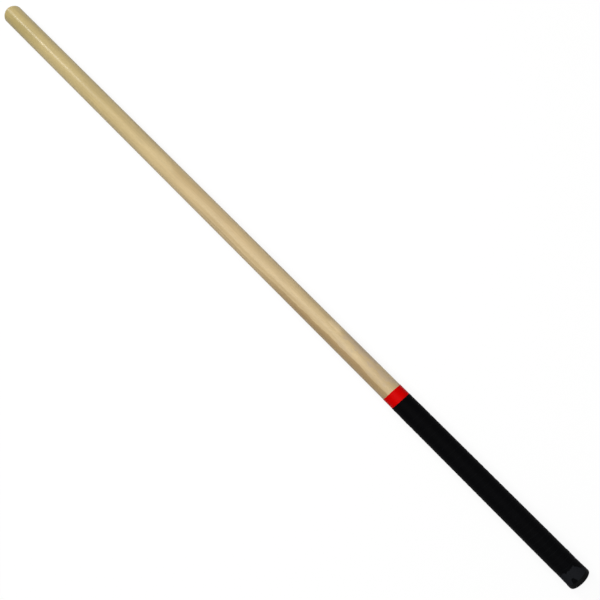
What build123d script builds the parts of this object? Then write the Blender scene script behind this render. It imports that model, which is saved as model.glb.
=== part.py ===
from build123d import *
import os
from math import asin, degrees

os.makedirs("parts", exist_ok=True)

# A stickball bat lying on the floor along X: its butt at -X, the tip of the wood at +X.
# Lengths along the bat are counted from the butt face. Millimetres.

# Lengths
overall_length = 1016.0
grip_length = 272.8
band_width = 19.0
band_tuck = 4.3
cap_lip_length = 5.2
cap_skirt_tuck = 12.5
cap_floor = 1.8

# The wooden stick
stick_diameter = 26.4
tip_dome_height = 8.3
tip_corner_radius = 1.5
stick_butt_chamfer = 0.6

# What is wound or pushed over the wood, as wall thicknesses
cap_skirt_wall = 0.58
cap_skirt_edge = 0.08
tape_over_skirt = 0.385
band_thickness = 0.20
tape_over_band = 0.19
cap_corner_radius = 1.5

# Glue line between each layer and what it lies on
glue_gap = 0.03

# Radii, built up layer by layer from the wood
stick_radius = stick_diameter / 2
layer_bore = stick_radius + glue_gap
skirt_radius = layer_bore + cap_skirt_wall
skirt_edge_radius = layer_bore + cap_skirt_edge
butt_radius = skirt_radius + glue_gap + tape_over_skirt
band_radius = layer_bore + band_thickness
grip_top_radius = band_radius + glue_gap + tape_over_band

# Stations along the bat
stick_start = cap_floor + glue_gap
skirt_end = cap_lip_length + cap_skirt_tuck
band_start = grip_length - band_tuck
band_end = band_start + band_width
tip_dome_radius = (stick_radius**2 + tip_dome_height**2) / (2 * tip_dome_height)
tip_dome_angle = degrees(asin(stick_radius / tip_dome_radius))
tip_dome_centre = overall_length - tip_dome_radius

# The bat's side view: local X runs from the butt to the tip, local Y is the radius.
# The origin is under the middle of the bat's length, on the floor that the butt rests on.
butt_centre = (-overall_length / 2, 0, butt_radius)
bat_side = Plane(origin=butt_centre, x_dir=(1, 0, 0), z_dir=(0, -1, 0))
bat_axis = Axis(butt_centre, (1, 0, 0))


def rims(piece):
    """The full circles of a turned piece, from the butt to the tip."""
    return piece.edges().filter_by(lambda edge: edge.is_closed).sort_by(Axis.X)


# Hardwood stick: a straight dowel, domed at the tip, its sharp edge taken off at the butt
with BuildPart() as stick:
    with BuildSketch(bat_side):
        with BuildLine():
            dome = CenterArc((tip_dome_centre, 0), tip_dome_radius, 0, tip_dome_angle)
            Polyline(dome @ 1, (stick_start, stick_radius), (stick_start, 0), dome @ 0)
        make_face()
    revolve(axis=bat_axis)
    fillet(rims(stick).last, tip_corner_radius)
    chamfer(rims(stick).first, stick_butt_chamfer)
stick.part.label = "stick"

# Butt cap: a shallow cup with a full-size lip, and a skirt that thins out under the tape
with BuildPart() as butt_cap:
    with BuildSketch(bat_side):
        with BuildLine():
            Polyline(
                (0, 0),
                (0, butt_radius),
                (cap_lip_length, butt_radius),
                (cap_lip_length, skirt_radius),
                (skirt_end, skirt_edge_radius),
                (skirt_end, layer_bore),
                (cap_floor, layer_bore),
                (cap_floor, 0),
                close=True,
            )
        make_face()
    revolve(axis=bat_axis)
    fillet(rims(butt_cap).first, cap_corner_radius)
butt_cap.part.label = "butt_cap"

# Marker band: one flat ring of tape on the bare wood, its lower edge under the grip tape
with BuildPart() as red_band:
    with BuildSketch(bat_side):
        with BuildLine():
            Polyline(
                (band_start, layer_bore),
                (band_end, layer_bore),
                (band_end, band_radius),
                (band_start, band_radius),
                close=True,
            )
        make_face()
    revolve(axis=bat_axis)
red_band.part.label = "red_band"

# Grip tape: the whole winding as one sleeve, thicker towards the butt. Its bore steps out
# over the cap's skirt at one end and over the marker band at the other.
with BuildPart() as grip_tape:
    with BuildSketch(bat_side):
        with BuildLine():
            Polyline(
                (cap_lip_length + glue_gap, butt_radius),
                (grip_length, grip_top_radius),
                (grip_length, band_radius + glue_gap),
                (band_start - glue_gap, band_radius + glue_gap),
                (band_start - glue_gap, layer_bore),
                (skirt_end + glue_gap, layer_bore),
                (skirt_end + glue_gap, skirt_edge_radius + glue_gap),
                (cap_lip_length + glue_gap, skirt_radius + glue_gap),
                close=True,
            )
        make_face()
    revolve(axis=bat_axis)
grip_tape.part.label = "grip_tape"

for piece in (stick, butt_cap, red_band, grip_tape):
    export_step(piece.part, f"parts/{piece.part.label}.step")
    print(f"{piece.part.label}: {piece.part.volume / 1000:.2f} cm3")

tip_corner = overall_length - tip_dome_height
print(f"largest diameter {2 * butt_radius:.3f}, grip at the band {2 * grip_top_radius:.3f}")
print(f"bare wood from {band_end:.2f} to the tip's corner at {tip_corner:.2f}")
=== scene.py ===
"""A stickball bat on a pale floor: a lacquered stick, a wound black grip, a red band and a butt cap."""

import logging
import math
from abc import ABC, abstractmethod
from collections.abc import Callable, Sequence
from dataclasses import dataclass, field
from enum import Enum
from itertools import pairwise
from typing import NamedTuple

import bpy
import numpy as np
from mathutils import Matrix, Vector


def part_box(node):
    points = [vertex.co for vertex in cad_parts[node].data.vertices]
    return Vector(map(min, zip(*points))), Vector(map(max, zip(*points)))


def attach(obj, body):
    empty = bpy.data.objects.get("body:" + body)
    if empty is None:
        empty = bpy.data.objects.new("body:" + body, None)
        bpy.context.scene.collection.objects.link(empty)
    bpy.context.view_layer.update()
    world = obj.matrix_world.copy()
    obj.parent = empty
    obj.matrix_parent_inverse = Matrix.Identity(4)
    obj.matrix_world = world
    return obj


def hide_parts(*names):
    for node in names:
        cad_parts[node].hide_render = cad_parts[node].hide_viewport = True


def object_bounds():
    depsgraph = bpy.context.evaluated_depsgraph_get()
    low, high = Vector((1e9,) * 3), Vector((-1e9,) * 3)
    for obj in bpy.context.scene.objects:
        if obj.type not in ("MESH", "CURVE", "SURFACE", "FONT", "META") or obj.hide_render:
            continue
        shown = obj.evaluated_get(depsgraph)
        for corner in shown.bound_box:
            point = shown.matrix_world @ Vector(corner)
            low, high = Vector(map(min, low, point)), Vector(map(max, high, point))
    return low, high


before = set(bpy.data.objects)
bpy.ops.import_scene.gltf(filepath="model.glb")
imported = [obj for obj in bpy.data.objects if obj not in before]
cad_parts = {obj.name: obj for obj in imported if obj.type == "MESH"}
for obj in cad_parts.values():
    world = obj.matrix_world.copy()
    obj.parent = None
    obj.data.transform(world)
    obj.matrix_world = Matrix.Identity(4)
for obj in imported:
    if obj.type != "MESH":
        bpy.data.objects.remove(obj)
cad_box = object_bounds()

BODY = "root"
TURN = 2 * math.pi
UNDERSIDE = 0.0
TOP_SIDE = math.pi
TAPE_MAP = "tape_run"

log = logging.getLogger("stickball_bat")


class Ring(NamedTuple):
    """One ring of a turned piece: its station along X and its radius, in metres."""

    x: float
    radius: float


def display(red: int, green: int, blue: int) -> tuple[float, float, float, float]:
    """A colour written as it shows on a screen, 0 to 255, as the linear colour that a shader takes.

    Args:
        red: Red as shown.
        green: Green as shown.
        blue: Blue as shown.

    Returns:
        Linear red, green, blue and an alpha of 1.
    """

    def linear(shown: int) -> float:
        """One channel on the screen's curve, made linear."""
        share = shown / 255
        return share / 12.92 if share <= 0.04045 else ((share + 0.055) / 1.055) ** 2.4

    return linear(red), linear(green), linear(blue), 1.0


@dataclass(frozen=True)
class Datum:
    """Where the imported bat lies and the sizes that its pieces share, in metres."""

    butt: float
    tip: float
    axis_height: float
    butt_radius: float
    wood_start: float
    wood_radius: float
    band_start: float
    band_end: float
    grip_start: float
    grip_end: float

    @classmethod
    def measured(cls) -> "Datum":
        """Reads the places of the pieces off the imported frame.

        Returns:
            The datum that every class below builds from.
        """
        low, high = cad_box
        wood_low, wood_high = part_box("stick")
        band_low, band_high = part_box("red_band")
        grip_low, grip_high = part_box("grip_tape")
        return cls(
            butt=low.x,
            tip=high.x,
            axis_height=(low.z + high.z) / 2,
            butt_radius=(high.z - low.z) / 2,
            wood_start=wood_low.x,
            wood_radius=(wood_high.z - wood_low.z) / 2,
            band_start=band_low.x,
            band_end=band_high.x,
            grip_start=grip_low.x,
            grip_end=grip_high.x,
        )

    def from_butt(self, length: float) -> float:
        """The X of a point that lies a length from the butt face."""
        return self.butt + length


def deselect_all() -> None:
    """Leaves nothing selected, so that the next operator acts on its own piece alone."""
    if bpy.context.object is not None and bpy.context.object.mode != "OBJECT":
        bpy.ops.object.mode_set(mode="OBJECT")
    bpy.ops.object.select_all(action="DESELECT")


def rounded_corner(x: float, radius: float, corner: float, start: float, end: float, steps: int) -> list[Ring]:
    """Rings along a quarter round or a part of one.

    Args:
        x: Station of the arc's centre.
        radius: Radius, from the bat's axis, of the arc's centre.
        corner: Radius of the arc itself.
        start: Angle at which the arc starts, from +X towards the outside.
        end: Angle at which it ends.
        steps: Number of spans along the arc.

    Returns:
        The rings in order, both ends among them.
    """
    angles = np.linspace(start, end, steps + 1)
    return [Ring(x + corner * math.cos(a), radius + corner * math.sin(a)) for a in angles]


class Lathe:
    """Turns a round piece about the bat's axis, one extruded ring after another."""

    def __init__(self, axis_height: float, sides: int) -> None:
        """Sets up the lathe.

        Args:
            axis_height: Height of the bat's axis over the floor.
            sides: Number of sides of each ring.
        """
        self.axis_height = axis_height
        self.sides = sides

    def turn(self, name: str, profile: Sequence[Ring]) -> bpy.types.Object:
        """Turns a closed piece whose first and last rings draw in to a point.

        Args:
            name: Name of the new object.
            profile: The rings in order, so that the outside lies on their left towards +X.

        Returns:
            The finished object, at the origin.
        """
        deselect_all()
        first = profile[0]
        bpy.ops.mesh.primitive_circle_add(
            vertices=self.sides,
            radius=first.radius,
            fill_type="NOTHING",
            location=(first.x, 0, self.axis_height),
            rotation=(0, math.pi / 2, 0),
        )
        piece = bpy.context.object
        piece.name = piece.data.name = name
        bpy.ops.object.mode_set(mode="EDIT")
        for here, there in pairwise(profile):
            self._next_ring(here, there)
        self._draw_in()
        bpy.ops.mesh.select_all(action="DESELECT")
        bpy.ops.object.mode_set(mode="OBJECT")
        for vertex in piece.data.vertices[: self.sides]:
            vertex.select = True
        bpy.ops.object.mode_set(mode="EDIT")
        self._draw_in()
        bpy.ops.mesh.select_all(action="SELECT")
        bpy.ops.mesh.normals_make_consistent(inside=False)
        bpy.ops.object.mode_set(mode="OBJECT")
        bpy.ops.object.transform_apply(location=True, rotation=True, scale=True)
        return piece

    def _next_ring(self, here: Ring, there: Ring) -> None:
        """Extrudes the selected ring to the next station and opens or narrows it there."""
        bpy.ops.mesh.extrude_region_move(TRANSFORM_OT_translate={"value": (there.x - here.x, 0, 0)})
        share = there.radius / here.radius
        centre = (there.x, 0, self.axis_height)
        bpy.ops.transform.resize(value=(1, share, share), center_override=centre)

    def _draw_in(self) -> None:
        """Closes the selected ring with a fan of faces that meet in one point."""
        bpy.ops.mesh.extrude_region_move(TRANSFORM_OT_translate={"value": (0, 0, 0)})
        bpy.ops.mesh.merge(type="CENTER")


@dataclass(frozen=True)
class Route:
    """The way that a tape takes round the bat.

    An angle is counted from the underside through the -Y side to the top, in radians, and goes on
    past a full turn. The edge is the X of the tape's edge nearer the butt, in metres.
    """

    angles: np.ndarray
    edge: np.ndarray

    @classmethod
    def ending_at(cls, cut_end: float, cells_per_turn: int, edge: Sequence[float]) -> "Route":
        """A route of even steps that ends at an angle.

        Args:
            cut_end: The angle of the tape's cut end.
            cells_per_turn: Steps in one turn.
            edge: The edge's X after each step.

        Returns:
            The route.
        """
        steps = np.arange(1 - len(edge), 1)
        return cls(cut_end + steps * TURN / cells_per_turn, np.array(edge))

    def at(self, angle: np.ndarray) -> np.ndarray:
        """The X of the edge nearer the butt at each angle."""
        return np.interp(angle, self.angles, self.edge)

    def begun(self, angle: np.ndarray, ramp: float) -> np.ndarray:
        """One where the tape has begun at an angle, easing to zero over a ramp before its start."""
        return np.clip((angle - self.angles[0]) / ramp + 1, 0, 1)


@dataclass(frozen=True)
class Strip:
    """A tape's width and thickness in metres, and the number of cells across it."""

    width: float
    thickness: float
    cells_across: int

    def covers(self, x: np.ndarray, edge: np.ndarray, ramp: float) -> np.ndarray:
        """One where a turn with its near edge at edge lies under x, easing to zero past its far edge."""
        past = x - edge - self.width - self.width / self.cells_across
        return np.clip(1 - past / ramp, 0, 1)

    def wind(
        self, name: str, axis_height: float, route: Route, bed: Callable[[np.ndarray, np.ndarray], np.ndarray]
    ) -> bpy.types.Object:
        """Wraps a flat grid round the bat and gives it the tape's thickness.

        Args:
            name: Name of the new object.
            axis_height: Height of the bat's axis over the floor.
            route: The way that the tape takes.
            bed: Gives the radius of what lies under the tape at each angle and X.

        Returns:
            The wound tape, at the origin, with its run in the UV map in metres.
        """
        deselect_all()
        steps = len(route.angles) - 1
        bpy.ops.mesh.primitive_grid_add(x_subdivisions=steps, y_subdivisions=self.cells_across, size=1)
        piece = bpy.context.object
        piece.name = piece.data.name = name
        mesh = piece.data
        flat = np.empty(len(mesh.vertices) * 3)
        mesh.vertices.foreach_get("co", flat)
        along, across, _ = flat.reshape(-1, 3).T + 0.5
        angle = np.interp(along, (0, 1), (route.angles[0], route.angles[-1]))
        x = route.at(angle) + across * self.width
        radius = bed(angle, x)
        wound = np.stack([x, -radius * np.sin(angle), axis_height - radius * np.cos(angle)], 1)
        mesh.vertices.foreach_set("co", wound.ravel())
        self._lay_out_map(mesh, float(radius.mean() * np.ptp(route.angles)))
        bpy.ops.object.mode_set(mode="EDIT")
        bpy.ops.mesh.select_all(action="SELECT")
        bpy.ops.mesh.flip_normals()
        bpy.ops.object.mode_set(mode="OBJECT")
        body = piece.modifiers.new("tape_body", "SOLIDIFY")
        body.thickness = self.thickness
        body.offset = 1
        bpy.ops.object.modifier_apply(modifier=body.name)
        return piece

    def _lay_out_map(self, mesh: bpy.types.Mesh, length: float) -> None:
        """Scales the grid's own UV map to the tape's real length and width."""
        layer = mesh.uv_layers[0]
        layer.name = TAPE_MAP
        places = np.empty(len(layer.uv) * 2)
        layer.uv.foreach_get("vector", places)
        places = places.reshape(-1, 2) * (length, self.width)
        layer.uv.foreach_set("vector", places.ravel())


class Wiring:
    """Places shader nodes in a tree and joins them, so that a finish reads from top to bottom."""

    def __init__(self, tree: bpy.types.NodeTree) -> None:
        """Takes the tree of a material or a node group."""
        self.tree = tree

    def place(self, kind: str, inputs: dict | None = None, **settings: object) -> bpy.types.Node:
        """Adds one node.

        Args:
            kind: Blender's type name of the node.
            inputs: Sockets by name or number, each with a value or with a socket to join it to.
            **settings: The node's own settings.

        Returns:
            The new node.
        """
        node = self.tree.nodes.new(kind)
        for setting, value in settings.items():
            setattr(node, setting, value)
        for socket, value in (inputs or {}).items():
            self.feed(node.inputs[socket], value)
        return node

    def feed(self, socket: bpy.types.NodeSocket, value: object) -> None:
        """Joins a socket to another one, or sets it to a plain value."""
        if isinstance(value, bpy.types.NodeSocket):
            self.tree.links.new(value, socket)
        else:
            socket.default_value = value

    def maths(self, operation: str, *values: object, clamp: bool = False) -> bpy.types.NodeSocket:
        """The result of one Math node on up to three values."""
        inputs = dict(enumerate(values))
        return self.place("ShaderNodeMath", inputs, operation=operation, use_clamp=clamp).outputs[0]

    def ease(
        self, value: object, low: object, high: object, to_low: object = 0.0, to_high: object = 1.0
    ) -> bpy.types.NodeSocket:
        """A smooth step of a value from low to high, clamped at both ends.

        Args:
            value: What is eased.
            low: Where the step starts.
            high: Where the step ends. It may be below low.
            to_low: The result at low.
            to_high: The result at high.

        Returns:
            The eased value.
        """
        inputs = {"Value": value, "From Min": low, "From Max": high, "To Min": to_low, "To Max": to_high}
        return self.place("ShaderNodeMapRange", inputs, interpolation_type="SMOOTHSTEP").outputs[0]

    def stretched(self, vector: object, scale: Sequence[float], shift: Sequence[float] = (0, 0, 0)) -> bpy.types.NodeSocket:
        """Coordinates moved and then stretched along each axis."""
        moved = self.place("ShaderNodeVectorMath", {0: vector, 1: shift}, operation="ADD").outputs[0]
        return self.place("ShaderNodeVectorMath", {0: moved, 1: scale}, operation="MULTIPLY").outputs[0]

    def noise(self, vector: object, scale: float = 1.0, detail: float = 2.0, roughness: float = 0.5) -> bpy.types.NodeSocket:
        """Cloudy noise between 0 and 1."""
        inputs = {"Vector": vector, "Scale": scale, "Detail": detail, "Roughness": roughness}
        return self.place("ShaderNodeTexNoise", inputs).outputs["Fac"]

    def blend(self, share: object, first: object, second: object, mode: str = "MIX") -> bpy.types.NodeSocket:
        """Two colours mixed by a share, or one laid on the other in another mode."""
        node = self.place("ShaderNodeMix", data_type="RGBA", blend_type=mode)
        colour_inputs = [socket for socket in node.inputs if socket.type == "RGBA"]
        self.feed(node.inputs["Factor"], share)
        self.feed(colour_inputs[0], first)
        self.feed(colour_inputs[1], second)
        return next(socket for socket in node.outputs if socket.type == "RGBA")

    def split(self, vector: object) -> tuple[bpy.types.NodeSocket, ...]:
        """The X, Y and Z of a vector."""
        return tuple(self.place("ShaderNodeSeparateXYZ", {0: vector}).outputs)

    def tape_run(self) -> bpy.types.NodeSocket:
        """The place on a wound tape: metres along it, and metres across it from its trailing edge."""
        return self.place("ShaderNodeUVMap", uv_map=TAPE_MAP).outputs["UV"]

    def along_bat(self, axis_height: float) -> bpy.types.NodeSocket:
        """Object coordinates, moved so that the bat's axis is at zero height."""
        place = self.place("ShaderNodeTexCoord").outputs["Object"]
        return self.place("ShaderNodeMapping", {"Vector": place, "Location": (0, 0, -axis_height)}).outputs[0]


class SharedEffect(Enum):
    """The effects that several finishes share, each a node group built once."""

    UNEVEN_SKIN = "uneven_skin"
    HANDLING_MARKS = "handling_marks"

    def placed(self, board: Wiring, vector: object, **values: float) -> bpy.types.Node:
        """Places the group in a material.

        Args:
            board: The material's wiring.
            vector: The coordinates that the effect follows.
            **values: The group's own inputs by name, with underscores for spaces.

        Returns:
            The group node.
        """
        tree = bpy.data.node_groups.get(self.value) or self._built()
        node = board.place("ShaderNodeGroup", node_tree=tree)
        board.feed(node.inputs["Vector"], vector)
        for name, value in values.items():
            board.feed(node.inputs[name.replace("_", " ")], value)
        return node

    def _built(self) -> bpy.types.NodeTree:
        """Builds the group with its sockets and its inner nodes."""
        tree = bpy.data.node_groups.new(self.value, "ShaderNodeTree")
        tree.interface.new_socket("Vector", in_out="INPUT", socket_type="NodeSocketVector")
        board = Wiring(tree)
        if self is SharedEffect.UNEVEN_SKIN:
            self._uneven_skin(board)
        else:
            self._handling_marks(board)
        return tree

    @staticmethod
    def _sockets(board: Wiring, inputs: dict[str, float], outputs: Sequence[str]) -> tuple[bpy.types.Node, bpy.types.Node]:
        """Adds the group's number sockets and its two end nodes."""
        for name, start in inputs.items():
            board.tree.interface.new_socket(name, in_out="INPUT", socket_type="NodeSocketFloat").default_value = start
        for name in outputs:
            board.tree.interface.new_socket(name, in_out="OUTPUT", socket_type="NodeSocketFloat")
        return board.place("NodeGroupInput"), board.place("NodeGroupOutput")

    def _uneven_skin(self, board: Wiring) -> None:
        """A slow swell with a fine grain on it, as on any coated, moulded or rolled surface."""
        start, end = self._sockets(board, {"Swell Scale": 60.0, "Grain Scale": 2500.0, "Grain Share": 0.3}, ["Height"])
        swell = board.noise(start.outputs["Vector"], detail=2.0)
        grain = board.noise(start.outputs["Vector"], detail=1.0)
        board.feed(swell.node.inputs["Scale"], start.outputs["Swell Scale"])
        board.feed(grain.node.inputs["Scale"], start.outputs["Grain Scale"])
        mixed = board.place("ShaderNodeMix", {0: start.outputs["Grain Share"], 2: swell, 3: grain}).outputs[0]
        board.feed(end.inputs["Height"], mixed)

    def _handling_marks(self, board: Wiring) -> None:
        """Sparse rubbed patches, with a few fine scratches in them."""
        start, end = self._sockets(board, {"Patch Scale": 40.0, "Cover": 0.4}, ["Mask"])
        patches = board.noise(start.outputs["Vector"], detail=4.0, roughness=0.6)
        board.feed(patches.node.inputs["Scale"], start.outputs["Patch Scale"])
        scratch_scale = board.maths("MULTIPLY", start.outputs["Patch Scale"], 14.0)
        scratches = board.noise(start.outputs["Vector"], detail=3.0, roughness=0.7)
        board.feed(scratches.node.inputs["Scale"], scratch_scale)
        edge = board.maths("SUBTRACT", 1.0, start.outputs["Cover"])
        patch = board.ease(patches, edge, board.maths("ADD", edge, 0.25))
        fine = board.ease(scratches, 0.42, 0.62)
        board.feed(end.inputs["Mask"], board.maths("MULTIPLY", patch, fine))


class Finish(ABC):
    """A surface finish: it writes one material on one Principled shader."""

    name: str

    def material(self, datum: Datum) -> bpy.types.Material:
        """Makes the material.

        Args:
            datum: The bat's places, for patterns that belong to a stretch of it.

        Returns:
            The finished material.
        """
        made = bpy.data.materials.new(self.name)
        made.use_nodes = True
        made.node_tree.nodes.clear()
        board = Wiring(made.node_tree)
        shader = board.place("ShaderNodeBsdfPrincipled")
        end = board.place("ShaderNodeOutputMaterial")
        board.feed(end.inputs["Surface"], shader.outputs[0])
        self.write(board, shader, datum)
        return made

    @abstractmethod
    def write(self, board: Wiring, shader: bpy.types.Node, datum: Datum) -> None:
        """Writes the finish's own nodes and feeds the shader."""

    @staticmethod
    def relief(board: Wiring, shader: bpy.types.Node, height: object, depth: float, strength: float = 1.0) -> None:
        """Feeds the shader's normal from a height that is a depth in metres from 0 to 1."""
        bump = board.place("ShaderNodeBump", {"Strength": strength, "Distance": depth, "Height": height})
        board.feed(shader.inputs["Normal"], bump.outputs[0])


@dataclass(frozen=True)
class LacqueredWood(Finish):
    """Pale hardwood under a clear satin lacquer, its grain solid through the stick."""

    name: str = "lacquered_wood"
    pale_wood: tuple = display(206, 182, 137)
    late_wood: tuple = display(191, 164, 118)
    # olive tip colour: partly the wood's own hue, partly painted shade where the light falls off towards the tip
    olive_shaded_tip: tuple = display(189, 170, 116)
    dark_end: tuple = display(173, 155, 98)
    # painted shade: a darker tan laid on the top of the wood just above the band
    shaded_top_wood: tuple = display(194, 169, 125)
    heart_wood: tuple = display(166, 137, 93)
    grey_stain: tuple = display(192, 170, 138)
    pale_fleck: tuple = display(228, 203, 160)
    pore_brown: tuple = display(150, 124, 84)
    pith: tuple = (0.0, 0.014, -0.058)
    grain_run_out: float = 0.007
    ring_pitch: float = 0.0031
    lacquer_roughness: float = 0.2
    lacquer_weight: float = 0.2
    wood_roughness: float = 0.46
    wood_shine: float = 0.25
    streak_edge: float = 0.0050
    stain_edge: float = -0.0038

    def write(self, board: Wiring, shader: bpy.types.Node, datum: Datum) -> None:
        """Lays the grain, then the stick's own colour changes with painted shade on the top above the band and towards
        the tip, then the lacquer.
        """
        place = board.along_bat(datum.axis_height)
        x, y, z = board.split(place)
        rings, early = self._rings(board, place, x, y, z)
        fibres = board.noise(board.stretched(place, (14, 620, 620)), detail=5.0, roughness=0.62)
        pores = self._pores(board, place, early)
        colour = board.blend(rings, self.pale_wood, self.late_wood)
        # olive tip: the wood's own hue with painted shade of the light falling off towards the tip
        colour = board.blend(self._olive_shaded_tip_share(board, x, datum), colour, self.olive_shaded_tip)
        colour = board.blend(self._dark_end_share(board, x, y, datum), colour, self.dark_end)
        # painted shade on the top of the wood above the band
        colour = board.blend(self._shaded_top_share(board, x, z, datum), colour, self.shaded_top_wood)
        colour = board.blend(self._pale_fleck(board, place, datum), colour, self.pale_fleck)
        colour = board.blend(self._stain(board, place, datum), colour, self.grey_stain)
        colour = board.blend(self._heart_streak(board, place, x, y, datum), colour, self.heart_wood)
        colour = board.blend(board.maths("MULTIPLY", pores, 0.35), colour, self.pore_brown)
        tone = board.ease(fibres, 0.25, 0.75, 0.93, 1.06)
        drift = board.noise(board.stretched(place, (17, 80, 80)), detail=3.0, roughness=0.6)
        tone = board.maths("MULTIPLY", tone, board.ease(drift, 0.25, 0.75, 0.94, 1.05))
        shade = board.place("ShaderNodeCombineXYZ", {0: tone, 1: tone, 2: tone}).outputs[0]
        board.feed(shader.inputs["Base Color"], board.blend(1.0, colour, shade, mode="MULTIPLY"))
        skin = SharedEffect.UNEVEN_SKIN.placed(board, place, Swell_Scale=55.0, Grain_Scale=1600.0, Grain_Share=0.25)
        roughness = board.maths("MULTIPLY_ADD", skin.outputs["Height"], 0.10, self.wood_roughness - 0.05)
        board.feed(shader.inputs["Roughness"], roughness)
        shader.inputs["Specular IOR Level"].default_value = self.wood_shine
        shader.inputs["Coat Weight"].default_value = self.lacquer_weight
        shader.inputs["Coat Roughness"].default_value = self.lacquer_roughness
        relief = board.maths("MULTIPLY_ADD", fibres, 0.35, board.maths("MULTIPLY", pores, -0.6))
        relief = board.maths("ADD", relief, board.maths("MULTIPLY", skin.outputs["Height"], 0.25))
        self.relief(board, shader, relief, 0.00001, strength=0.22)

    def _rings(
        self, board: Wiring, place: object, x: object, y: object, z: object
    ) -> tuple[bpy.types.NodeSocket, bpy.types.NodeSocket]:
        """Growth rings round a pith that lies outside the stick and runs a little askew.

        Args:
            board: The material's wiring.
            place: Object coordinates with the axis at zero height.
            x: Their X.
            y: Their Y.
            z: Their Z.

        Returns:
            How much late wood there is, and how much early wood.
        """
        bend = board.noise(board.stretched(place, (3.2, 12, 12)), detail=3.0, roughness=0.45)
        swing = board.maths("MULTIPLY_ADD", bend, 0.016, -0.008)
        across = board.maths("SUBTRACT", y, self.pith[1])
        lean = board.maths("MULTIPLY_ADD", x, self.grain_run_out, swing)
        depth = board.maths("ADD", board.maths("SUBTRACT", z, self.pith[2]), lean)
        reach = board.maths("SQRT", board.maths("MULTIPLY_ADD", across, across, board.maths("MULTIPLY", depth, depth)))
        uneven = board.noise(board.stretched(place, (1.5, 90, 90)), detail=2.0)
        count = board.maths("MULTIPLY_ADD", reach, 1 / self.ring_pitch, board.maths("MULTIPLY", uneven, 0.8))
        phase = board.maths("FRACT", count)
        rise = board.ease(phase, 0.25, 0.9)
        fall = board.ease(phase, 0.93, 1.0, 1.0, 0.0)
        late = board.maths("MULTIPLY", rise, fall)
        strength = board.ease(board.noise(board.stretched(place, (6, 70, 70)), detail=3.0), 0.3, 0.7, 0.25, 0.75)
        return board.maths("MULTIPLY", late, strength), board.maths("SUBTRACT", 1.0, late)

    def _pores(self, board: Wiring, place: object, early: object) -> bpy.types.NodeSocket:
        """Short dark pores along the grain, most of them in the early wood."""
        cells = board.place(
            "ShaderNodeTexVoronoi", {"Vector": board.stretched(place, (160, 2600, 2600)), "Scale": 1.0, "Randomness": 1.0}
        )
        dash = board.ease(cells.outputs["Distance"], 0.34, 0.16)
        return board.maths("MULTIPLY", dash, early)

    def _olive_shaded_tip_share(self, board: Wiring, x: object, datum: Datum) -> bpy.types.NodeSocket:
        """How far the wood has gone over to the olive colour of the tip, which is partly the wood's own hue and partly
        painted shade where the light falls off towards the tip.
        """
        return board.ease(x, datum.from_butt(0.56), datum.from_butt(0.93), 0.0, 0.9)

    def _dark_end_share(self, board: Wiring, x: object, y: object, datum: Datum) -> bpy.types.NodeSocket:
        """How far the last hand's width has darkened, most of all on its +Y side."""
        side = board.ease(y, -0.0030, 0.0020, 0.4, 1.0)
        return board.maths("MULTIPLY", side, board.ease(x, datum.from_butt(0.91), datum.from_butt(0.985)))

    def _shaded_top_share(self, board: Wiring, x: object, z: object, datum: Datum) -> bpy.types.NodeSocket:
        """How far painted shade darkens the top of the wood over the two finger widths above the band."""
        upper = board.ease(z, 0.0050, 0.0110)
        return board.maths("MULTIPLY", upper, board.ease(x, datum.from_butt(0.305), datum.from_butt(0.350), 0.9, 0.0))

    def _heart_streak(self, board: Wiring, place: object, x: object, y: object, datum: Datum) -> bpy.types.NodeSocket:
        """A dark streak of heartwood on the +Y side, from under the band to the middle of the bat."""
        wander = board.noise(board.stretched(place, (38, 60, 60)), detail=3.0, roughness=0.6)
        step = board.maths("MULTIPLY_ADD", wander, 0.0044, -0.0022)
        leave = board.ease(x, datum.from_butt(0.38), datum.from_butt(0.62), 0.0, 0.0060)
        edge = board.maths("ADD", board.maths("ADD", step, leave), self.streak_edge)
        past = board.maths("SUBTRACT", y, edge)
        fade = board.ease(x, datum.from_butt(0.42), datum.from_butt(0.54), 1.0, 0.1)
        lines = board.ease(board.noise(board.stretched(place, (9, 420, 420)), detail=3.0), 0.3, 0.7, 0.75, 1.0)
        return board.maths("MULTIPLY", board.ease(past, -0.0002, 0.0007), board.maths("MULTIPLY", fade, lines))

    def _stain(self, board: Wiring, place: object, datum: Datum) -> bpy.types.NodeSocket:
        """Grey-brown mottling on the upper -Y side over the hand's width above the band."""
        x, y, z = board.split(place)
        cloud = board.noise(board.stretched(place, (62, 110, 110), (0.013, 0, 0)), detail=4.0, roughness=0.62)
        edge = board.maths("MULTIPLY_ADD", cloud, 0.024, self.stain_edge - 0.012)
        side = board.ease(board.maths("SUBTRACT", y, edge), 0.0005, -0.0009)
        upper = board.ease(board.maths("MULTIPLY_ADD", cloud, 0.014, z), 0.0010, 0.0045)
        fingers = board.noise(board.stretched(place, (30, 520, 520)), detail=3.0, roughness=0.6)
        frayed = board.maths("MULTIPLY_ADD", fingers, 0.020, x)
        reach = board.ease(frayed, datum.from_butt(0.381), datum.from_butt(0.388), 1.0, 0.0)
        patches = board.noise(board.stretched(place, (55, 150, 150)), detail=4.0, roughness=0.62)
        patchy = board.ease(patches, 0.42, 0.53, 0.1, 1.0)
        thin_film = board.ease(cloud, 0.46, 0.58, 0.0, 0.45)
        mottling = board.maths("MAXIMUM", board.maths("MULTIPLY", side, patchy), thin_film)
        return board.maths("MULTIPLY", board.maths("MULTIPLY", mottling, upper), reach)

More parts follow.
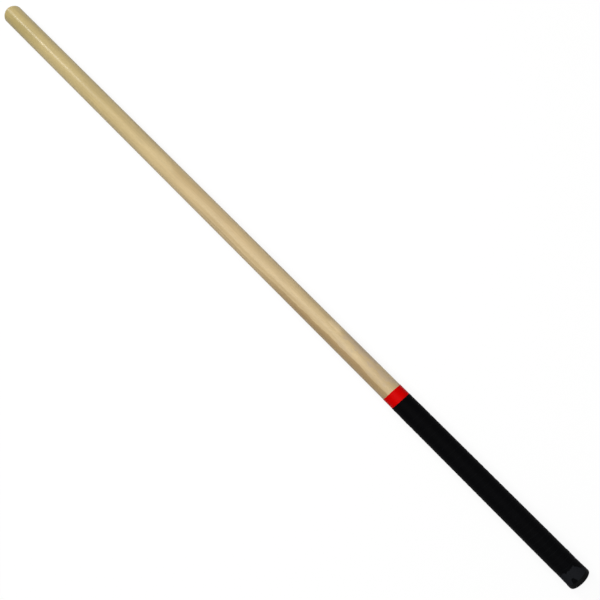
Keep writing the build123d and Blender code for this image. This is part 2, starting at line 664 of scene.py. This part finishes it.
    def _pale_fleck(self, board: Wiring, place: object, datum: Datum) -> bpy.types.NodeSocket:
        """A pale fleck of sapwood on the upper -Y side, beyond the mottling."""
        x, y, z = board.split(place)
        ragged = board.noise(board.stretched(place, (90, 160, 160)), detail=3.0, roughness=0.6)
        fingers = board.noise(board.stretched(place, (24, 480, 480), (0.4, 0, 0)), detail=3.0, roughness=0.6)
        off_middle = board.maths("ABSOLUTE", board.maths("SUBTRACT", x, datum.from_butt(0.3885)))
        along = board.ease(board.maths("MULTIPLY_ADD", fingers, 0.024, off_middle), 0.0245, 0.0170)
        side = board.ease(board.maths("MULTIPLY_ADD", ragged, 0.006, y), 0.0000, -0.0045)
        upper = board.ease(board.maths("MULTIPLY_ADD", ragged, 0.010, z), 0.0010, 0.0045)
        return board.maths("MULTIPLY", board.maths("MULTIPLY", along, side), board.maths("MULTIPLY", upper, 0.75))


@dataclass(frozen=True)
class BlackTape(Finish):
    """Black grip tape: a dull, finely pebbled face, greyer at its edges and where it has been rubbed, with a patch of
    painted sheen on the top of the butt end.
    """

    name: str = "black_tape"
    black: tuple = display(3, 3, 4)
    # grey for worn edges and rubbed marks, and also for the patch of painted sheen on the top of the butt end
    rubbed: tuple = display(26, 27, 30)
    pebble_scale: float = 1500.0
    edge_width: float = 0.0005
    # length of the painted sheen patch from the butt face
    sheen_patch_length: float = 0.019
    shine: float = 0.02
    roughness: float = 0.58

    def write(self, board: Wiring, shader: bpy.types.Node, datum: Datum) -> None:
        """Pebbles follow the tape's own run; the painted sheen patch belongs to the butt end."""
        run = board.tape_run()
        place = board.along_bat(datum.axis_height)
        _, across, _ = board.split(run)
        pebbles = board.place(
            "ShaderNodeTexVoronoi", {"Vector": run, "Scale": self.pebble_scale, "Smoothness": 0.6}, feature="SMOOTH_F1"
        ).outputs["Distance"]
        skin = SharedEffect.UNEVEN_SKIN.placed(board, run, Swell_Scale=70.0, Grain_Scale=900.0, Grain_Share=0.2)
        marks = SharedEffect.HANDLING_MARKS.placed(board, place, Patch_Scale=55.0, Cover=0.42)
        edge = board.ease(across, self.edge_width, 0.0, 0.0, 0.35)
        worn_and_sheen = board.maths("MAXIMUM", edge, board.maths("MULTIPLY", marks.outputs["Mask"], 0.3))
        # painted sheen: a grey patch where light catches the top of the butt end
        worn_and_sheen = board.maths("MAXIMUM", worn_and_sheen, self._sheen_patch_at_butt(board, place, datum))
        board.feed(shader.inputs["Base Color"], board.blend(worn_and_sheen, self.black, self.rubbed))
        roughness = board.maths("MULTIPLY_ADD", skin.outputs["Height"], 0.16, self.roughness - 0.08)
        board.feed(shader.inputs["Roughness"], board.maths("MULTIPLY_ADD", worn_and_sheen, 0.15, roughness))
        shader.inputs["Specular IOR Level"].default_value = self.shine
        relief = board.maths("MULTIPLY_ADD", pebbles, -0.5, skin.outputs["Height"])
        self.relief(board, shader, relief, 0.00009, strength=0.6)

    def _sheen_patch_at_butt(self, board: Wiring, place: object, datum: Datum) -> bpy.types.NodeSocket:
        """A ragged grey patch of painted sheen, where light catches the top of the butt end.

        Its edge leans away from the butt towards +Y, and a small black island is left in it.
        """
        x, y, z = board.split(place)
        ragged = board.noise(board.stretched(place, (240, 240, 240)), detail=3.0, roughness=0.6)
        lean = board.ease(y, -0.0125, -0.0040, -0.0095, 0.0)
        limit = board.maths("MULTIPLY_ADD", ragged, 0.008, datum.from_butt(self.sheen_patch_length) - 0.004)
        limit = board.maths("ADD", limit, lean)
        near_butt = board.ease(board.maths("SUBTRACT", x, limit), 0.0005, -0.0005)
        above = board.ease(z, -0.004, 0.002)
        island_x = board.maths("SUBTRACT", x, datum.from_butt(0.0065))
        island_y = board.maths("SUBTRACT", y, 0.0052)
        reach = board.place("ShaderNodeCombineXYZ", {0: island_x, 1: board.maths("MULTIPLY", island_y, 1.6)})
        length = board.place("ShaderNodeVectorMath", {0: reach.outputs[0]}, operation="LENGTH").outputs["Value"]
        away = board.ease(board.maths("MULTIPLY_ADD", ragged, 0.004, length), 0.0062, 0.0072)
        return board.maths("MULTIPLY", away, board.maths("MULTIPLY", near_butt, above))


@dataclass(frozen=True)
class RedTape(Finish):
    """Smooth red vinyl tape, a little uneven where it was stretched round the wood."""

    name: str = "red_tape"
    red: tuple = display(210, 0, 0)
    deep_red: tuple = display(195, 0, 0)
    shine: float = 0.03
    roughness: float = 0.42

    def write(self, board: Wiring, shader: bpy.types.Node, datum: Datum) -> None:
        """Fine stretch lines run along the tape."""
        run = board.tape_run()
        place = board.along_bat(datum.axis_height)
        stretch = board.noise(board.stretched(run, (70, 1500, 1)), detail=3.0, roughness=0.55)
        skin = SharedEffect.UNEVEN_SKIN.placed(board, run, Swell_Scale=90.0, Grain_Scale=2200.0, Grain_Share=0.25)
        marks = SharedEffect.HANDLING_MARKS.placed(board, place, Patch_Scale=90.0, Cover=0.36)
        deep = board.ease(stretch, 0.35, 0.75, 0.0, 0.6)
        board.feed(shader.inputs["Base Color"], board.blend(deep, self.red, self.deep_red))
        roughness = board.maths("MULTIPLY_ADD", skin.outputs["Height"], 0.12, self.roughness - 0.06)
        board.feed(shader.inputs["Roughness"], board.maths("MULTIPLY_ADD", marks.outputs["Mask"], 0.2, roughness))
        shader.inputs["Specular IOR Level"].default_value = self.shine
        relief = board.maths("MULTIPLY_ADD", stretch, 0.4, skin.outputs["Height"])
        self.relief(board, shader, relief, 0.00004, strength=0.5)


@dataclass(frozen=True)
class BlackRubber(Finish):
    """Matt moulded rubber with a fine mould grain and a few rubbed marks."""

    name: str = "black_rubber"
    black: tuple = display(5, 5, 5)
    rubbed: tuple = display(19, 19, 20)
    shine: float = 0.045
    roughness: float = 0.55

    def write(self, board: Wiring, shader: bpy.types.Node, datum: Datum) -> None:
        """Rubbed marks lie scattered over the whole cap."""
        place = board.along_bat(datum.axis_height)
        skin = SharedEffect.UNEVEN_SKIN.placed(board, place, Swell_Scale=120.0, Grain_Scale=3200.0, Grain_Share=0.55)
        marks = SharedEffect.HANDLING_MARKS.placed(board, place, Patch_Scale=130.0, Cover=0.46)
        board.feed(shader.inputs["Base Color"], board.blend(marks.outputs["Mask"], self.black, self.rubbed))
        roughness = board.maths("MULTIPLY_ADD", skin.outputs["Height"], 0.18, self.roughness - 0.09)
        board.feed(shader.inputs["Roughness"], roughness)
        shader.inputs["Specular IOR Level"].default_value = self.shine
        self.relief(board, shader, skin.outputs["Height"], 0.00006, strength=0.6)


class BatPart(ABC):
    """A sub-assembly of the bat: it builds its mesh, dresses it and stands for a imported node."""

    datum: Datum
    piece_name: str
    node: str
    finish: Finish

    @abstractmethod
    def build(self) -> bpy.types.Object:
        """Builds the piece's mesh and returns its object."""

    def dress(self, piece: bpy.types.Object) -> None:
        """Gives the piece its finish."""
        piece.data.materials.clear()
        piece.data.materials.append(self.finish.material(self.datum))

    def make(self) -> bpy.types.Object:
        """Builds and dresses the piece, and ties it to the frame.

        Returns:
            The finished object.
        """
        piece = self.build()
        self.dress(piece)
        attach(piece, BODY)
        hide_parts(self.node)
        log.info("%s: %d faces, finish %s", piece.name, len(piece.data.polygons), self.finish.name)
        return piece


@dataclass
class Stick(BatPart):
    """The hardwood dowel, from inside the butt cap to its domed tip. Sizes in metres."""

    datum: Datum
    piece_name: str = "wood_stick"
    node: str = "stick"
    finish: Finish = field(default_factory=LacqueredWood)
    sides: int = 128
    dome_height: float = 0.0083
    dome_corner: float = 0.0015
    butt_chamfer: float = 0.0006
    ring_spacing: float = 0.018
    dome_rings: int = 12
    corner_rings: int = 5
    sharp_edge: float = math.radians(32)

    def build(self) -> bpy.types.Object:
        """Turns the dowel and smooths all but its sharp butt edge."""
        piece = Lathe(self.datum.axis_height, self.sides).turn(self.piece_name, self._profile())
        bpy.ops.object.shade_smooth_by_angle(angle=self.sharp_edge)
        return piece

    def _profile(self) -> list[Ring]:
        """The rings from the butt's face along the straight wood to the tip."""
        radius = self.datum.wood_radius
        start = self.datum.wood_start
        dome = self._dome()
        straight_start = start + self.butt_chamfer
        spans = round((dome[0].x - straight_start) / self.ring_spacing)
        stations = np.linspace(straight_start, dome[0].x, spans + 1)[:-1]
        face = [Ring(start, radius / 2), Ring(start, radius - self.butt_chamfer)]
        return face + [Ring(float(x), radius) for x in stations] + dome

    def _dome(self) -> list[Ring]:
        """The softened corner and the dome, which meet without a crease."""
        radius = self.datum.wood_radius
        dome_radius = (radius**2 + self.dome_height**2) / (2 * self.dome_height)
        dome_centre = self.datum.tip - dome_radius
        corner_centre_radius = radius - self.dome_corner
        reach = dome_radius - self.dome_corner
        corner_x = dome_centre + math.sqrt(reach**2 - corner_centre_radius**2)
        meeting = math.atan2(corner_centre_radius, corner_x - dome_centre)
        corner = rounded_corner(
            corner_x, corner_centre_radius, self.dome_corner, math.pi / 2, meeting, self.corner_rings
        )
        near_apex = meeting / self.dome_rings
        dome = rounded_corner(dome_centre, 0.0, dome_radius, meeting, near_apex / 2, self.dome_rings)
        return corner + dome[1:] + [Ring(self.datum.tip, dome[-1].radius / 8)]


@dataclass
class ButtCap(BatPart):
    """The moulded cap: a floor, a full-size lip, and a skirt that thins out under the tape."""

    datum: Datum
    piece_name: str = "end_cap"
    node: str = "butt_cap"
    finish: Finish = field(default_factory=BlackRubber)
    sides: int = 128
    lip_length: float = 0.0052
    skirt_tuck: float = 0.0125
    skirt_wall: float = 0.00058
    skirt_edge: float = 0.00008
    bore_gap: float = 0.00003
    floor_thickness: float = 0.0018
    rim_round: float = 0.0015
    lip_round: float = 0.00012
    gate_radius: float = 0.0016
    gate_depth: float = 0.00025
    round_rings: int = 8
    sharp_edge: float = math.radians(32)

    def build(self) -> bpy.types.Object:
        """Turns the cap as one closed wall, outside and inside."""
        piece = Lathe(self.datum.axis_height, self.sides).turn(self.piece_name, self._profile())
        bpy.ops.object.shade_smooth_by_angle(angle=self.sharp_edge)
        return piece

    def _profile(self) -> list[Ring]:
        """The rings from the gate mark on the face, round the rim, to the floor inside."""
        datum = self.datum
        outside = datum.butt_radius
        bore = datum.wood_radius + self.bore_gap
        lip_end = datum.from_butt(self.lip_length)
        skirt_end = datum.from_butt(self.lip_length + self.skirt_tuck)
        gate = [
            Ring(datum.from_butt(self.gate_depth), self.gate_radius / 2),
            Ring(datum.from_butt(self.gate_depth), self.gate_radius * 0.8),
            Ring(datum.butt, self.gate_radius),
        ]
        rim = rounded_corner(
            datum.from_butt(self.rim_round), outside - self.rim_round, self.rim_round, math.pi, math.pi / 2, self.round_rings
        )
        lip = rounded_corner(
            lip_end - self.lip_round, outside - self.lip_round, self.lip_round, math.pi / 2, 0.0, 3
        )
        skirt = [Ring(lip_end, bore + self.skirt_wall), Ring(skirt_end, bore + self.skirt_edge), Ring(skirt_end, bore)]
        floor = datum.from_butt(self.floor_thickness)
        inside = [Ring(floor, bore), Ring(floor, bore / 2)]
        return gate + [Ring(datum.butt, outside / 2)] + rim + lip + skirt + inside


@dataclass
class MarkerBand(BatPart):
    """One turn of red tape on the bare wood, its end lapped over its start on the underside."""

    datum: Datum
    piece_name: str = "marker_band"
    node: str = "red_band"
    finish: Finish = field(default_factory=RedTape)
    thickness: float = 0.00019
    glue: float = 0.00003
    lap_gap: float = 0.00001
    turns: float = 1.1
    cut_end: float = math.radians(330)
    climb: float = 0.0038
    lap_ramp: float = 0.0012
    cells_per_turn: int = 128
    cells_across: int = 16
    sharp_edge: float = math.radians(40)

    @property
    def width(self) -> float:
        """Width of the tape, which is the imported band's."""
        return self.datum.band_end - self.datum.band_start

    def route(self) -> Route:
        """On the top side the tape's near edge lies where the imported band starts."""
        steps = np.arange(-round(self.turns * self.cells_per_turn), 1) / self.cells_per_turn
        past_top = (self.cut_end - TOP_SIDE) / TURN
        return Route.ending_at(
            self.cut_end, self.cells_per_turn, self.datum.band_start + self.climb * (steps + past_top)
        )

    def build(self) -> bpy.types.Object:
        """Winds the tape on the wood."""
        strip = Strip(self.width, self.thickness, self.cells_across)
        route = self.route()
        radius = self.datum.wood_radius + self.glue

        def bed(angle: np.ndarray, x: np.ndarray) -> np.ndarray:
            """The wood, and the tape's own start under its last stretch."""
            before = angle - TURN
            lapped = route.begun(before, self.lap_ramp / radius) * strip.covers(x, route.at(before), self.lap_ramp)
            return radius + (self.thickness + self.lap_gap) * lapped

        piece = strip.wind(self.piece_name, self.datum.axis_height, route, bed)
        bpy.ops.object.shade_smooth_by_angle(angle=self.sharp_edge)
        return piece


@dataclass
class WoundGrip(BatPart):
    """One unbroken tape, wound from the cap's lip up to the red band. Sizes in metres.

    Its laps are close at the butt, where the grip is thick, and open up towards the band. Laps
    are counted as the tape's width over its climb in a turn.
    """

    datum: Datum
    cap: ButtCap
    band: MarkerBand
    piece_name: str = "wound_grip"
    node: str = "grip_tape"
    finish: Finish = field(default_factory=BlackTape)
    width: float = 0.025
    thickness: float = 0.00017
    lap_gap: float = 0.000005
    square_turns: float = 1.03
    take_up: float = 0.3
    laps_over_square: float = 3.5
    laps_at_butt: float = 4.2
    laps_at_band: float = 2.3
    last_climb: float = 0.0046
    last_turns: float = 0.7
    last_ease: float = 0.005
    cut_end: float = math.radians(330)
    lap_ramp: float = 0.0012
    cells_per_turn: int = 60
    cells_across: int = 20
    sharp_edge: float = math.radians(40)

    def build(self) -> bpy.types.Object:
        """Winds the tape and lets each turn lie on the ones before it."""
        strip = Strip(self.width, self.thickness, self.cells_across)
        route = self.route()
        foundation = self._foundation

        def bed(angle: np.ndarray, x: np.ndarray) -> np.ndarray:
            """What is under the tape: wood, cap skirt, red band and earlier turns."""
            layer = self.thickness + self.lap_gap
            return foundation(angle, x) + layer * self._turns_beneath(strip, route, angle, x)

        piece = strip.wind(self.piece_name, self.datum.axis_height, route, bed)
        bpy.ops.object.shade_smooth_by_angle(angle=self.sharp_edge)
        return piece

    def _climb(self, travelled: float, journey: float) -> float:
        """How far the tape climbs in a turn, once it has travelled a part of its journey up the bat."""
        if travelled < self.width:
            return self.width / self.laps_over_square
        laps = self.laps_at_butt + (self.laps_at_band - self.laps_at_butt) * travelled / journey
        return self.width / laps

    def route(self) -> Route:
        """Square turns against the lip, lapped turns up the handle, and a closer last turn.

        Returns:
            The tape's route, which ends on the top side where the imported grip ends.
        """
        start = self.datum.grip_start
        past_top = (self.cut_end - TOP_SIDE) / TURN
        end = self.datum.grip_end + self.last_climb * past_top - self.width
        close_from = end - self.last_climb * self.last_turns
        edge = [start] * (round(self.square_turns * self.cells_per_turn) + 1)
        square_steps = len(edge)
        while edge[-1] < end:
            taken_up = min(1.0, (len(edge) - square_steps + 1) / (self.take_up * self.cells_per_turn))
            closing = float(np.clip((edge[-1] - close_from) / self.last_ease + 1, 0, 1))
            climb = self._climb(edge[-1] - start, end - start) * taken_up
            edge.append(edge[-1] + (climb + (self.last_climb - climb) * closing) / self.cells_per_turn)
        fit = (end - start) / (edge[-1] - start)
        log.info("grip tape: %.1f turns, fitted by %.4f", (len(edge) - 1) / self.cells_per_turn, fit)
        return Route.ending_at(self.cut_end, self.cells_per_turn, start + (np.array(edge) - start) * fit)

    def _foundation(self, angle: np.ndarray, x: np.ndarray) -> np.ndarray:
        """Radius of the wood, of the cap's skirt and of the red band's covered edge."""
        datum, cap, band = self.datum, self.cap, self.band
        bore = datum.wood_radius + cap.bore_gap
        lip_end = datum.from_butt(cap.lip_length)
        skirt_end = lip_end + cap.skirt_tuck
        skirt = np.interp(x, (lip_end, skirt_end, skirt_end + self.lap_ramp), (cap.skirt_wall, cap.skirt_edge, 0))
        round_once = np.mod(angle - band.cut_end, TURN) + band.cut_end - TURN
        into_band = (x - band.route().at(round_once)) / self.lap_ramp + 1
        return bore + skirt + (band.thickness + band.glue) * np.clip(into_band, 0, 1)

    def _turns_beneath(self, strip: Strip, route: Route, angle: np.ndarray, x: np.ndarray) -> np.ndarray:
        """How many earlier turns lie under each point, eased over their edges and over the cut start.

        Args:
            strip: The tape.
            route: Its way round the bat.
            angle: Angle of each point.
            x: Station of each point.

        Returns:
            The number of turns, with fractions on the slopes.
        """
        beneath = np.zeros_like(x)
        for back in range(1, math.ceil(np.ptp(route.angles) / TURN) + 1):
            before = angle - back * TURN
            begun = route.begun(before, self.lap_ramp / self.datum.wood_radius)
            beneath += begun * strip.covers(x, route.at(before), self.lap_ramp)
        return beneath


@dataclass(frozen=True)
class PhotographCamera:
    """The photograph's view: from above the handle, with the bat's tip at the upper left."""

    lens_mm: float = 41.14
    sensor_mm: float = 36.0
    distance: float = 0.8362
    aim_from_butt: float = 0.44311
    aim_aside: float = -0.00049
    tilt: float = math.radians(10.627)
    fall: float = math.radians(44.921)

    def place(self, datum: Datum) -> None:
        """Sets the camera up.

        Args:
            datum: The bat's places.
        """
        view = Vector((math.sin(self.tilt), 0, -math.cos(self.tilt)))
        to_tip = Vector((math.cos(self.tilt), 0, math.sin(self.tilt)))
        to_far_side = Vector((0, -1, 0))
        right = -math.cos(self.fall) * to_tip + math.sin(self.fall) * to_far_side
        up = math.sin(self.fall) * to_tip + math.cos(self.fall) * to_far_side
        aim = Vector((datum.from_butt(self.aim_from_butt), self.aim_aside, datum.axis_height))
        lens = bpy.data.cameras.new("photograph_camera")
        lens.lens = self.lens_mm
        lens.sensor_width = self.sensor_mm
        camera = bpy.data.objects.new("photograph_camera", lens)
        bpy.context.scene.collection.objects.link(camera)
        turned = Matrix((right, up, -view)).transposed().to_4x4()
        camera.matrix_world = Matrix.Translation(aim - view * self.distance) @ turned
        bpy.context.scene.camera = camera
        log.info("camera at %s", tuple(round(value, 4) for value in camera.location))


@dataclass(frozen=True)
class SoftLamp:
    """A rectangular softbox that points at a spot on the bat. Metres and watts."""

    name: str
    place: tuple
    aim: tuple
    size: tuple
    power: float

    def hang(self) -> None:
        """Adds the lamp to the scene."""
        light = bpy.data.lights.new(self.name, "AREA")
        light.shape = "RECTANGLE"
        light.size, light.size_y = self.size
        light.energy = self.power
        lamp = bpy.data.objects.new(self.name, light)
        bpy.context.scene.collection.objects.link(lamp)
        lamp.location = self.place
        lamp.rotation_mode = "QUATERNION"
        lamp.rotation_quaternion = (Vector(self.aim) - Vector(self.place)).to_track_quat("-Z", "X")


@dataclass
class Studio:
    """A pale floor, an even sky and two softboxes."""

    datum: Datum
    floor_size: float = 12.0
    sky_level: float = 0.20
    floor_own_white: float = 1.14
    floor_white_share: float = 0.75
    far_white_share: float = 0.9
    near_floor: float = 0.7
    far_floor: float = 1.6
    floor_grey: float = 0.3
    floor_grey_seen: float = 0.6
    lamps: tuple = (
        SoftLamp("overhead_softbox", (-0.05, 0.12, 1.95), (-0.05, 0.0, 0.0), (2.0, 2.0), 34.0),
        SoftLamp("tip_softbox", (1.57, 0.0, 1.41), (0.42, 0.0, 0.0), (0.42, 0.42), 11.2),
    )

    def set_up(self) -> None:
        """Makes the floor, the sky and the lamps."""
        self._floor()
        self._sky()
        for lamp in self.lamps:
            lamp.hang()
        bpy.context.scene.view_settings.view_transform = "Standard"

    def _seen_directly(self, board: Wiring) -> bpy.types.NodeSocket:
        """One for a ray from the camera, or one that a gloss or a glass sends on, and else zero."""
        path = board.place("ShaderNodeLightPath")
        seen = board.maths("MAXIMUM", path.outputs["Is Camera Ray"], path.outputs["Is Glossy Ray"])
        return board.maths("MAXIMUM", seen, path.outputs["Is Transmission Ray"])

    def _sky(self) -> None:
        """White where it is seen, and at a plain level where it lights the bat."""
        world = bpy.data.worlds.new("studio_sky")
        bpy.context.scene.world = world
        world.use_nodes = True
        world.node_tree.nodes.clear()
        board = Wiring(world.node_tree)
        strength = board.ease(self._seen_directly(board), 0.0, 1.0, self.sky_level, 1.0)
        sky = board.place("ShaderNodeBackground", {"Color": (1, 1, 1, 1), "Strength": strength})
        end = board.place("ShaderNodeOutputWorld")
        board.feed(end.inputs["Surface"], sky.outputs[0])

    def _floor(self) -> None:
        """A white floor that keeps a faint shadow and is clear from below."""
        deselect_all()
        bpy.ops.mesh.primitive_plane_add(size=self.floor_size, location=(0, 0, 0))
        floor = bpy.context.object
        floor.name = floor.data.name = "studio_floor"
        paper = bpy.data.materials.new("studio_paper")
        paper.use_nodes = True
        paper.node_tree.nodes.clear()
        board = Wiring(paper.node_tree)
        seen = self._seen_directly(board)
        level = board.ease(seen, 0.0, 1.0, self.floor_grey, self.floor_grey_seen)
        grey = board.place("ShaderNodeBsdfDiffuse", {"Color": level})
        white = board.place("ShaderNodeEmission", {"Color": (1, 1, 1, 1), "Strength": self.floor_own_white})
        place = board.place("ShaderNodeTexCoord").outputs["Object"]
        away = board.place("ShaderNodeVectorMath", {0: place}, operation="LENGTH").outputs["Value"]
        own_share = board.ease(away, self.near_floor, self.far_floor, self.floor_white_share, self.far_white_share)
        share = board.maths("MULTIPLY", seen, own_share)
        front = board.place("ShaderNodeMixShader", {0: share, 1: grey.outputs[0], 2: white.outputs[0]})
        clear = board.place("ShaderNodeBsdfTransparent")
        back = board.place("ShaderNodeNewGeometry").outputs["Backfacing"]
        both = board.place("ShaderNodeMixShader", {0: back, 1: front.outputs[0], 2: clear.outputs[0]})
        end = board.place("ShaderNodeOutputMaterial")
        board.feed(end.inputs["Surface"], both.outputs[0])
        floor.data.materials.append(paper)


def main() -> None:
    """Sets the camera and the studio up, and makes the bat piece by piece."""
    logging.basicConfig(level=logging.INFO, format="%(name)s: %(message)s")
    datum = Datum.measured()
    PhotographCamera().place(datum)
    Studio(datum).set_up()
    cap = ButtCap(datum)
    band = MarkerBand(datum)
    for part in (Stick(datum), cap, band, WoundGrip(datum, cap, band)):
        part.make()


if __name__ == "__main__":
    main()
